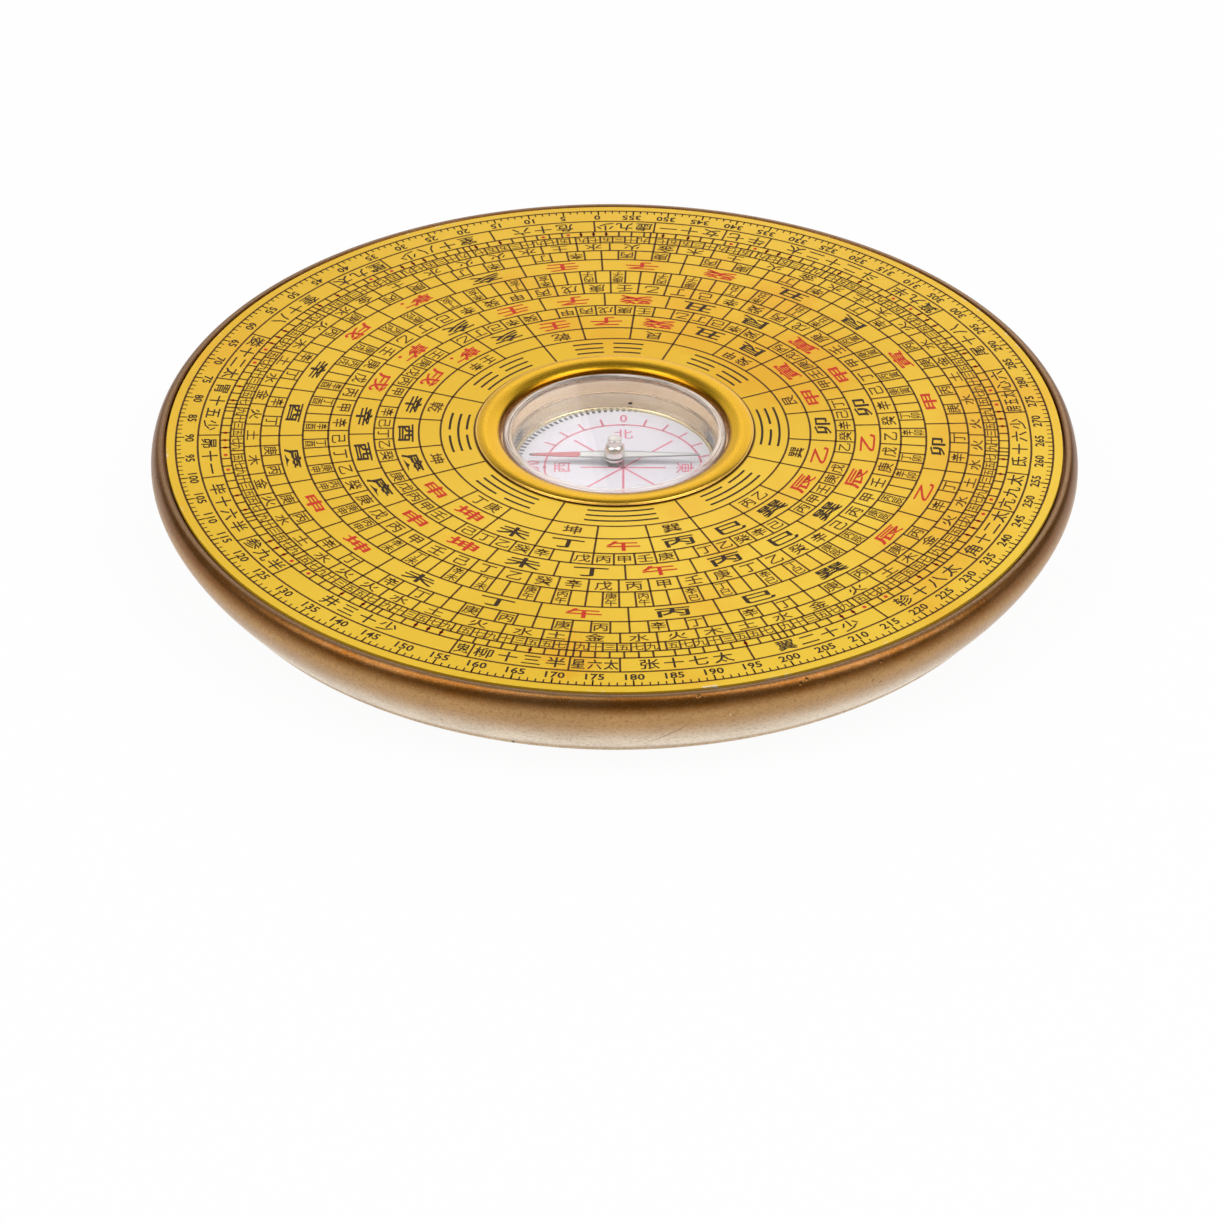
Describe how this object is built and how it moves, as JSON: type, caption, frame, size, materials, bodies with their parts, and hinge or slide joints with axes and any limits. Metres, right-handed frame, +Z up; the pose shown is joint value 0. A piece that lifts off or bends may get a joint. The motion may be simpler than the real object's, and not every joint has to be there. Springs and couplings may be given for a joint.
{
  "type": "geology compass",
  "caption": "Round table compass: printed gold dial plate on a turned bronze-painted body, with a swinging needle under a clear cover in a gold bezel.",
  "frame": {"origin": "centre of the flat face under the body, on the pivot's axis", "axes": "+Z up along the pivot's axis; +Y points to the dial's zero; the needle's red end rests 88 degrees round towards -X"},
  "size_m": [0.1968, 0.1968, 0.0189],
  "materials": {
    "bronze_paint": "satin bronze paint over pressed wood, slightly pebbled",
    "adhesive_film": "double-sided film",
    "dial_gold": "satin gold with black and red print",
    "bezel_gold": "satin gold anodised",
    "clear_plastic": "clear",
    "adhesive_pad": "foam tape",
    "card": "white card with pink print",
    "hoop_brass": "bright",
    "steel": "bright; one arm of the needle is painted red",
    "nickel": "turned, nickel plated",
    "jewel": "polished"
  },
  "bodies": {
    "housing": {"base_body": "bronze_paint", "plate_adhesive": "adhesive_film", "dial_plate": "dial_gold", "bezel_ring": "bezel_gold", "capsule_cover": "clear_plastic", "capsule_base": "clear_plastic", "capsule_pad": "adhesive_pad", "compass_card": "card", "card_hoop": "hoop_brass", "pivot_pin": "steel"},
    "needle": {"needle_blade": "steel", "needle_cap": "nickel", "needle_collar": "nickel", "needle_jewel": "jewel"}
  },
  "joints": [
    {"name": "needle_spin", "type": "hinge", "parent": "housing", "child": "needle", "pos_m": [0, 0, 0.01445], "axis": [0, 0, 1], "continuous": true}
  ]
}
